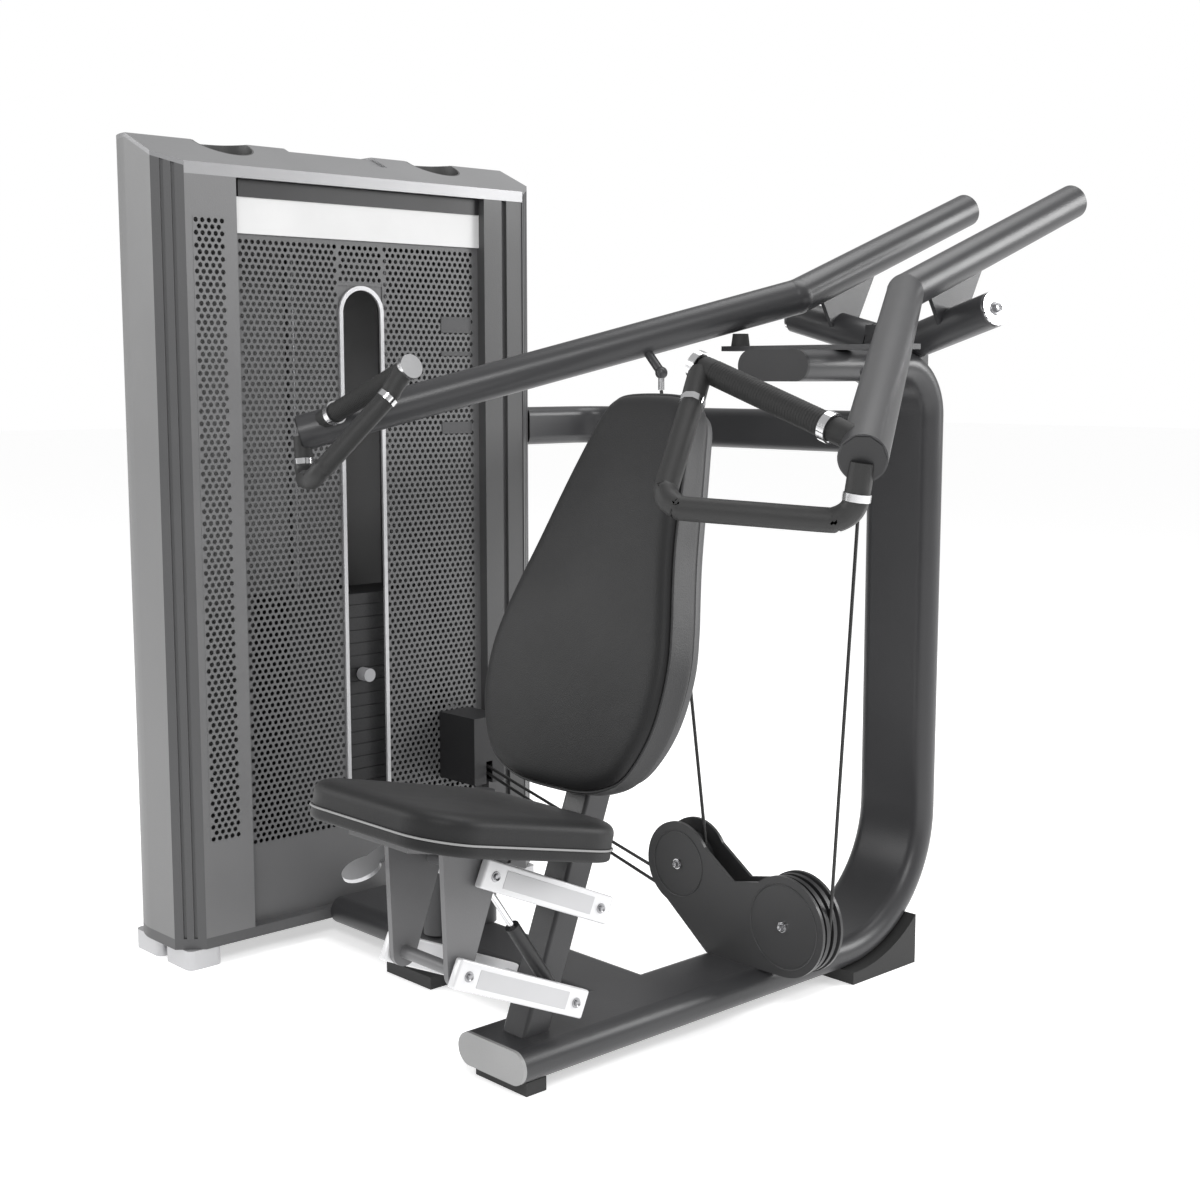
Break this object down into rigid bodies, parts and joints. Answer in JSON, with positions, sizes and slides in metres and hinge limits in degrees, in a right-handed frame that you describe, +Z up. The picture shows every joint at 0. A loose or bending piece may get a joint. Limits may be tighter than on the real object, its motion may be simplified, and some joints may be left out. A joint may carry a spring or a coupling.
{
  "type": "chest press machine",
  "caption": "Pin-loaded chest press with converging arms, a reclined back pad, a lowering seat on parallel links and a shrouded weight tower at the side.",
  "frame": {"origin": "middle of the rear foot's underside, on the floor and on the user's centre plane", "axes": "+Z up, -Y the way the user faces, +X the user's left; the weight tower stands on the -X side"},
  "size_m": [1.6515, 1.5859, 1.498],
  "materials": {
    "end_grey": "satin",
    "column_grey": "satin",
    "corner_dark": "satin",
    "mesh_grey": "satin",
    "cap_silver": "satin",
    "foot_silver": "satin",
    "cup_plastic": "matte",
    "placard_white": "matte",
    "label_dark": "matte",
    "rod_chrome": "polished",
    "stack_iron": "matte",
    "pin_plastic": "gloss",
    "black_plastic": "matte",
    "frame_charcoal": "satin",
    "foot_dark": "matte",
    "cap_grey": "satin",
    "black_rubber": "matte",
    "handle_black": "satin",
    "pad_vinyl": "matte",
    "shell_grey": "satin",
    "link_silver": "satin",
    "carrier_grey": "satin",
    "strut_black": "satin",
    "cable_black": "matte"
  },
  "bodies": {
    "frame": {"tower_base": "corner_dark", "tower_feet": "foot_silver", "tower_crown": "corner_dark", "tower_cap": "cap_silver", "cup_holders": "cup_plastic", "end_panels": "end_grey", "corner_posts": "corner_dark", "near_column": "column_grey", "far_column": "column_grey", "rear_shell": "end_grey", "front_panel": "mesh_grey", "slot_trim": "cap_silver", "placard": "placard_white", "header_strip": "corner_dark", "label_plates": "label_dark", "guide_rods": "rod_chrome", "stack_cushions": "black_rubber", "lower_plates": "stack_iron", "tower_pulleys": "black_plastic", "entry_box": "black_plastic", "main_frame": "frame_charcoal", "base_end_cap": "cap_grey", "top_end_cap": "black_plastic", "lower_beam": "frame_charcoal", "middle_post": "frame_charcoal", "upper_beam": "frame_charcoal", "rear_foot": "foot_dark", "frame_feet": "foot_dark", "seat_post": "frame_charcoal", "pad_brackets": "frame_charcoal", "pad_shell": "shell_grey", "back_pad": "pad_vinyl", "head_block": "frame_charcoal", "arm_shafts": "rod_chrome", "bumper_bar": "frame_charcoal", "bumpers": "black_rubber", "pulley_plates": "frame_charcoal", "pulley_axles": "rod_chrome", "left_cable": "cable_black", "right_cable": "cable_black", "fixed_cables": "cable_black"},
    "left_press_arm": {"left_arm": "frame_charcoal", "left_handle": "handle_black", "left_grip": "black_rubber", "left_trim": "rod_chrome"},
    "right_press_arm": {"right_arm": "frame_charcoal", "right_handle": "handle_black", "right_grip": "black_rubber", "right_trim": "rod_chrome"},
    "stack": {"lifted_plates": "stack_iron"},
    "pin": {"selector_pin": "pin_plastic"},
    "small_sheave": {"small_pulley": "black_plastic"},
    "large_sheave": {"large_pulley": "black_plastic"},
    "upper_link": {"upper_links": "link_silver"},
    "lower_link": {"lower_links": "link_silver"},
    "carrier": {"seat_carrier": "carrier_grey", "seat_pad": "pad_vinyl"},
    "lever": {"seat_lever": "foot_silver"},
    "spring_tube": {"strut_tube": "strut_black"},
    "spring_rod": {"strut_rod": "rod_chrome"}
  },
  "joints": [
    {"name": "left_press", "type": "hinge", "parent": "frame", "child": "left_press_arm", "pos_m": [0.056, 0.114, 1.141], "axis": [-0.954, 0.134, -0.268], "range_deg": [0, 45], "deforming": ["left_cable"]},
    {"name": "right_press", "type": "hinge", "parent": "frame", "child": "right_press_arm", "pos_m": [-0.056, 0.114, 1.141], "axis": [-0.954, -0.134, 0.268], "range_deg": [0, 45], "deforming": ["right_cable"]},
    {"name": "stack_lift", "type": "slide", "parent": "frame", "child": "stack", "axis": [0, 0, 1], "range_m": [0, 0.29]},
    {"name": "pin_pull", "type": "slide", "parent": "stack", "child": "pin", "axis": [1, 0, 0], "range_m": [0, 0.06]},
    {"name": "small_spin", "type": "hinge", "parent": "frame", "child": "small_sheave", "pos_m": [-0.13, -0.286, 0.22], "axis": [0, -1, 0], "range_deg": [0, 346]},
    {"name": "large_spin", "type": "hinge", "parent": "frame", "child": "large_sheave", "pos_m": [0.115, -0.286, 0.162], "axis": [0, -1, 0], "range_deg": [0, 213]},
    {"name": "seat_height", "type": "hinge", "parent": "frame", "child": "upper_link", "pos_m": [0, -0.70593, 0.27311], "axis": [1, 0, 0], "range_deg": [0, 14]},
    {"name": "lower_link_turn", "type": "hinge", "parent": "frame", "child": "lower_link", "pos_m": [0, -0.75689, 0.13682], "axis": [1, 0, 0], "range_deg": [0, 14]},
    {"name": "carrier_turn", "type": "hinge", "parent": "upper_link", "child": "carrier", "pos_m": [0, -0.9118, 0.3639], "axis": [1, 0, 0], "range_deg": [-14, 0]},
    {"name": "lever_pull", "type": "hinge", "parent": "carrier", "child": "lever", "pos_m": [-0.108, -0.90822, 0.39414], "axis": [-1, 0, 0], "range_deg": [0, 12], "stiffness_Nm_per_rad": 1, "springref_deg": -28.65},
    {"name": "strut_turn", "type": "hinge", "parent": "frame", "child": "spring_tube", "pos_m": [0, -0.75689, 0.13682], "axis": [1, 0, 0], "range_deg": [0, 10.07]},
    {"name": "strut_slide", "type": "slide", "parent": "spring_tube", "child": "spring_rod", "axis": [0, -0.5635, 0.8261], "range_m": [-0.0307, 0]}
  ],
  "couplings": [
    {"joint": "right_press", "follows": "left_press", "ratio": 1},
    {"joint": "stack_lift", "follows": "left_press", "m_per_rad": 0.368},
    {"joint": "small_spin", "follows": "left_press", "ratio": 7.6667},
    {"joint": "large_spin", "follows": "left_press", "ratio": 4.7179},
    {"joint": "lower_link_turn", "follows": "seat_height", "ratio": 1},
    {"joint": "carrier_turn", "follows": "seat_height", "ratio": -1},
    {"joint": "strut_turn", "follows": "seat_height", "ratio": 0.71894},
    {"joint": "strut_slide", "follows": "seat_height", "m_per_rad": -0.12556}
  ]
}
